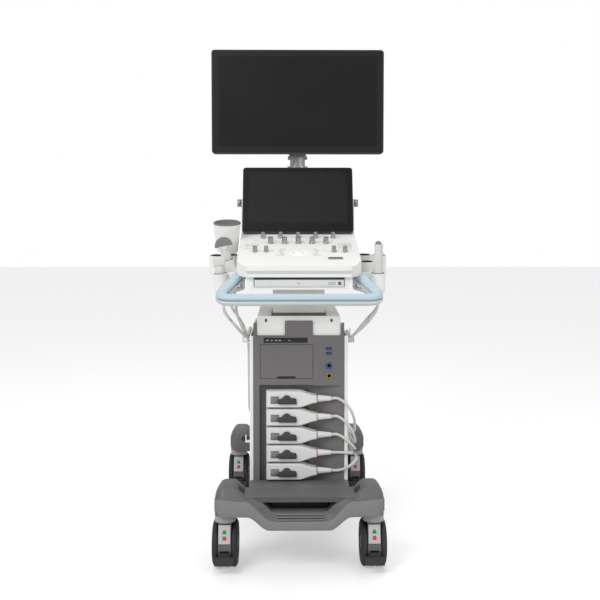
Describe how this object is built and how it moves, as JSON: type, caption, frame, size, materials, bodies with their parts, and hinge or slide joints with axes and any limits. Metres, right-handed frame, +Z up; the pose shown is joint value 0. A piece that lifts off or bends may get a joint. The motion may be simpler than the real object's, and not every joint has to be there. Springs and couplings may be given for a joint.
{
  "type": "ultrasound machine",
  "caption": "Cart-based ultrasound machine on casters with lifting console, tilting touch panel, display on a folding arm, probes and their cables.",
  "frame": {"origin": "on the floor, at the middle of the footprint", "axes": "+X to the operator's right, -Y towards the operator, +Z up"},
  "size_m": [0.517, 0.805, 1.424],
  "materials": {
    "base_grey": "satin moulded",
    "frame_steel": "powder coated",
    "trunk_grey": "fine texture",
    "white_plastic": "satin moulded",
    "rear_grey": "fine texture",
    "black_plastic": "matte",
    "connector_white": "satin moulded",
    "lever_black": "fine texture",
    "cable_grey": "soft sheath",
    "mast_beige": "satin paint",
    "deck_white": "satin moulded",
    "handle_blue": "soft touch",
    "key_grey": "backlit key",
    "knob_silver": "satin anodised",
    "ball_white": "polished",
    "cage_grey": "matte",
    "probe_body": "satin moulded",
    "bezel_black": "semi-gloss",
    "display_dark": "fine texture",
    "screen_glass": "anti-reflective",
    "arm_white": "satin paint",
    "neck_metal": "satin",
    "tyre_black": "matte",
    "fork_grey": "satin",
    "pedal_dark": "matte"
  },
  "bodies": {
    "root": {"base_frame": "frame_steel", "base_cover": "base_grey", "trunk_frame": "frame_steel", "front_panel": "trunk_grey", "side_panels": "white_plastic", "rear_panel": "rear_grey", "top_cover": "white_plastic", "ports_and_sockets": "black_plastic", "probe_connectors": "connector_white", "probe_cable_1": "cable_grey", "probe_cable_2": "cable_grey", "probe_cable_3": "cable_grey", "probe_cable_4": "cable_grey", "probe_cable_5": "cable_grey"},
    "fl_fork": {"caster_fl_fork": "fork_grey"},
    "fl_wheels": {"caster_fl_wheels": "tyre_black"},
    "fl_pedal": {"caster_fl_pedal": "pedal_dark"},
    "fr_fork": {"caster_fr_fork": "fork_grey"},
    "fr_wheels": {"caster_fr_wheels": "tyre_black"},
    "fr_pedal": {"caster_fr_pedal": "pedal_dark"},
    "rl_fork": {"caster_rl_fork": "fork_grey"},
    "rl_wheels": {"caster_rl_wheels": "tyre_black"},
    "rl_pedal": {"caster_rl_pedal": "pedal_dark"},
    "rr_fork": {"caster_rr_fork": "fork_grey"},
    "rr_wheels": {"caster_rr_wheels": "tyre_black"},
    "rr_pedal": {"caster_rr_pedal": "pedal_dark"},
    "printer_door": {"printer_door": "trunk_grey"},
    "lock_lever_1": {"lock_lever_1": "lever_black"},
    "lock_lever_2": {"lock_lever_2": "lever_black"},
    "lock_lever_3": {"lock_lever_3": "lever_black"},
    "lock_lever_4": {"lock_lever_4": "lever_black"},
    "lock_lever_5": {"lock_lever_5": "lever_black"},
    "mast": {"column_mast": "mast_beige"},
    "console": {"console_tub": "white_plastic", "console_deck": "deck_white", "handle": "handle_blue", "probe_holders": "white_plastic", "trackball_cage": "cage_grey"},
    "keyboard_drawer": {"keyboard_drawer": "white_plastic"},
    "trackball": {"trackball": "ball_white"},
    "freeze_button": {"freeze_button": "knob_silver"},
    "deck_keys": {"deck_keys": "key_grey"},
    "menu_knobs": {"menu_knobs": "knob_silver"},
    "mode_knob_1": {"mode_knob_1": "knob_silver"},
    "mode_knob_2": {"mode_knob_2": "knob_silver"},
    "mode_knob_3": {"mode_knob_3": "knob_silver"},
    "mode_knob_4": {"mode_knob_4": "knob_silver"},
    "mode_knob_5": {"mode_knob_5": "knob_silver"},
    "probe_1": {"probe_1": "probe_body"},
    "probe_2": {"probe_2": "probe_body"},
    "probe_3": {"probe_3": "probe_body"},
    "probe_4": {"probe_4": "probe_body"},
    "probe_5": {"probe_5": "probe_body"},
    "touch_panel": {"touch_panel": "bezel_black", "touch_glass": "screen_glass"},
    "arm_lower": {"arm_lower": "arm_white"},
    "arm_upper": {"arm_upper": "arm_white"},
    "monitor_neck": {"monitor_neck": "neck_metal"},
    "monitor": {"monitor_shell": "display_dark", "monitor_glass": "screen_glass"}
  },
  "joints": [
    {"name": "fl_swivel", "type": "hinge", "parent": "root", "child": "fl_fork", "pos_m": [-0.195, -0.345, 0.14], "axis": [0, 0, 1], "continuous": true},
    {"name": "fl_roll", "type": "hinge", "parent": "fl_fork", "child": "fl_wheels", "pos_m": [-0.195, -0.325, 0.0625], "axis": [1, 0, 0], "continuous": true},
    {"name": "fl_brake", "type": "hinge", "parent": "fl_fork", "child": "fl_pedal", "pos_m": [-0.195, -0.369, 0.05], "axis": [1, 0, 0], "range_deg": [0, 12]},
    {"name": "fr_swivel", "type": "hinge", "parent": "root", "child": "fr_fork", "pos_m": [0.195, -0.345, 0.14], "axis": [0, 0, 1], "continuous": true},
    {"name": "fr_roll", "type": "hinge", "parent": "fr_fork", "child": "fr_wheels", "pos_m": [0.195, -0.325, 0.0625], "axis": [1, 0, 0], "continuous": true},
    {"name": "fr_brake", "type": "hinge", "parent": "fr_fork", "child": "fr_pedal", "pos_m": [0.195, -0.369, 0.05], "axis": [1, 0, 0], "range_deg": [0, 12]},
    {"name": "rl_swivel", "type": "hinge", "parent": "root", "child": "rl_fork", "pos_m": [-0.195, 0.32, 0.14], "axis": [0, 0, 1], "continuous": true},
    {"name": "rl_roll", "type": "hinge", "parent": "rl_fork", "child": "rl_wheels", "pos_m": [-0.195, 0.34, 0.0625], "axis": [1, 0, 0], "continuous": true},
    {"name": "rl_brake", "type": "hinge", "parent": "rl_fork", "child": "rl_pedal", "pos_m": [-0.195, 0.296, 0.05], "axis": [1, 0, 0], "range_deg": [0, 12]},
    {"name": "rr_swivel", "type": "hinge", "parent": "root", "child": "rr_fork", "pos_m": [0.195, 0.32, 0.14], "axis": [0, 0, 1], "continuous": true},
    {"name": "rr_roll", "type": "hinge", "parent": "rr_fork", "child": "rr_wheels", "pos_m": [0.195, 0.34, 0.0625], "axis": [1, 0, 0], "continuous": true},
    {"name": "rr_brake", "type": "hinge", "parent": "rr_fork", "child": "rr_pedal", "pos_m": [0.195, 0.296, 0.05], "axis": [1, 0, 0], "range_deg": [0, 12]},
    {"name": "printer_door_hinge", "type": "hinge", "parent": "root", "child": "printer_door", "pos_m": [-0.0335, -0.2265, 0.573], "axis": [-1, 0, 0], "range_deg": [0, 85]},
    {"name": "lock_1", "type": "hinge", "parent": "root", "child": "lock_lever_1", "pos_m": [-0.033, -0.25, 0.4275], "axis": [0, 1, 0], "range_deg": [0, 90]},
    {"name": "lock_2", "type": "hinge", "parent": "root", "child": "lock_lever_2", "pos_m": [-0.033, -0.25, 0.3775], "axis": [0, 1, 0], "range_deg": [0, 90]},
    {"name": "lock_3", "type": "hinge", "parent": "root", "child": "lock_lever_3", "pos_m": [-0.033, -0.25, 0.3275], "axis": [0, 1, 0], "range_deg": [0, 90]},
    {"name": "lock_4", "type": "hinge", "parent": "root", "child": "lock_lever_4", "pos_m": [-0.033, -0.25, 0.2775], "axis": [0, 1, 0], "range_deg": [0, 90]},
    {"name": "lock_5", "type": "hinge", "parent": "root", "child": "lock_lever_5", "pos_m": [-0.033, -0.25, 0.2275], "axis": [0, 1, 0], "range_deg": [0, 90]},
    {"name": "console_lift", "type": "slide", "parent": "root", "child": "mast", "axis": [0, 0, 1], "range_m": [0, 0.2]},
    {"name": "console_swivel", "type": "hinge", "parent": "mast", "child": "console", "pos_m": [0, -0.1255, 0.7285], "axis": [0, 0, 1], "range_deg": [-30, 30]},
    {"name": "keyboard_slide", "type": "slide", "parent": "console", "child": "keyboard_drawer", "axis": [0, -1, 0], "range_m": [0, 0.16]},
    {"name": "trackball_roll", "type": "hinge", "parent": "console", "child": "trackball", "pos_m": [0, -0.19202, 0.8134], "axis": [1, 0, 0], "continuous": true},
    {"name": "freeze_press", "type": "slide", "parent": "console", "child": "freeze_button", "axis": [0, 0.2487, -0.9686], "range_m": [0, 0.0015], "stiffness_N_per_m": 300},
    {"name": "key_press", "type": "slide", "parent": "console", "child": "deck_keys", "axis": [0, 0.2487, -0.9686], "range_m": [0, 0.0015], "stiffness_N_per_m": 600},
    {"name": "menu_knob_press", "type": "slide", "parent": "console", "child": "menu_knobs", "axis": [0, 0.2487, -0.9686], "range_m": [0, 0.0015], "stiffness_N_per_m": 600},
    {"name": "mode_knob_1_turn", "type": "hinge", "parent": "console", "child": "mode_knob_1", "pos_m": [-0.079, -0.102, 0.84891], "axis": [0, -0.2487, 0.9686], "continuous": true},
    {"name": "mode_knob_2_turn", "type": "hinge", "parent": "console", "child": "mode_knob_2", "pos_m": [-0.0395, -0.102, 0.84891], "axis": [0, -0.2487, 0.9686], "continuous": true},
    {"name": "mode_knob_3_turn", "type": "hinge", "parent": "console", "child": "mode_knob_3", "pos_m": [0, -0.102, 0.84891], "axis": [0, -0.2487, 0.9686], "continuous": true},
    {"name": "mode_knob_4_turn", "type": "hinge", "parent": "console", "child": "mode_knob_4", "pos_m": [0.0395, -0.102, 0.84891], "axis": [0, -0.2487, 0.9686], "continuous": true},
    {"name": "mode_knob_5_turn", "type": "hinge", "parent": "console", "child": "mode_knob_5", "pos_m": [0.079, -0.102, 0.84891], "axis": [0, -0.2487, 0.9686], "continuous": true},
    {"name": "probe_1_lift", "type": "slide", "parent": "console", "child": "probe_1", "axis": [-0.2059, -0.1392, 0.9686], "range_m": [0, 0.08]},
    {"name": "probe_2_lift", "type": "slide", "parent": "console", "child": "probe_2", "axis": [-0.1035, -0.1392, 0.9848], "range_m": [0, 0.08]},
    {"name": "probe_3_lift", "type": "slide", "parent": "console", "child": "probe_3", "axis": [0, 0, 1], "range_m": [0, 0.08]},
    {"name": "probe_4_lift", "type": "slide", "parent": "console", "child": "probe_4", "axis": [0, -0.1392, 0.9903], "range_m": [0, 0.08]},
    {"name": "probe_5_lift", "type": "slide", "parent": "console", "child": "probe_5", "axis": [0, -0.1392, 0.9903], "range_m": [0, 0.08]},
    {"name": "touch_tilt", "type": "hinge", "parent": "console", "child": "touch_panel", "pos_m": [0, 0.048, 0.96604], "axis": [1, 0, 0], "range_deg": [-8, 14]},
    {"name": "arm_base_swing", "type": "hinge", "parent": "console", "child": "arm_lower", "pos_m": [0, 0.112, 0.87334], "axis": [0, 0, 1], "range_deg": [0, 135]},
    {"name": "arm_elbow_swing", "type": "hinge", "parent": "arm_lower", "child": "arm_upper", "pos_m": [0.118, 0.118, 0.90834], "axis": [0, 0, 1], "range_deg": [-150, 0]},
    {"name": "display_pan", "type": "hinge", "parent": "arm_upper", "child": "monitor_neck", "pos_m": [0, 0.13, 1.072], "axis": [0, 0, 1], "range_deg": [-60, 60]},
    {"name": "display_tilt", "type": "hinge", "parent": "monitor_neck", "child": "monitor", "pos_m": [0, 0.116, 1.19], "axis": [-1, 0, 0], "range_deg": [-5, 15]}
  ]
}
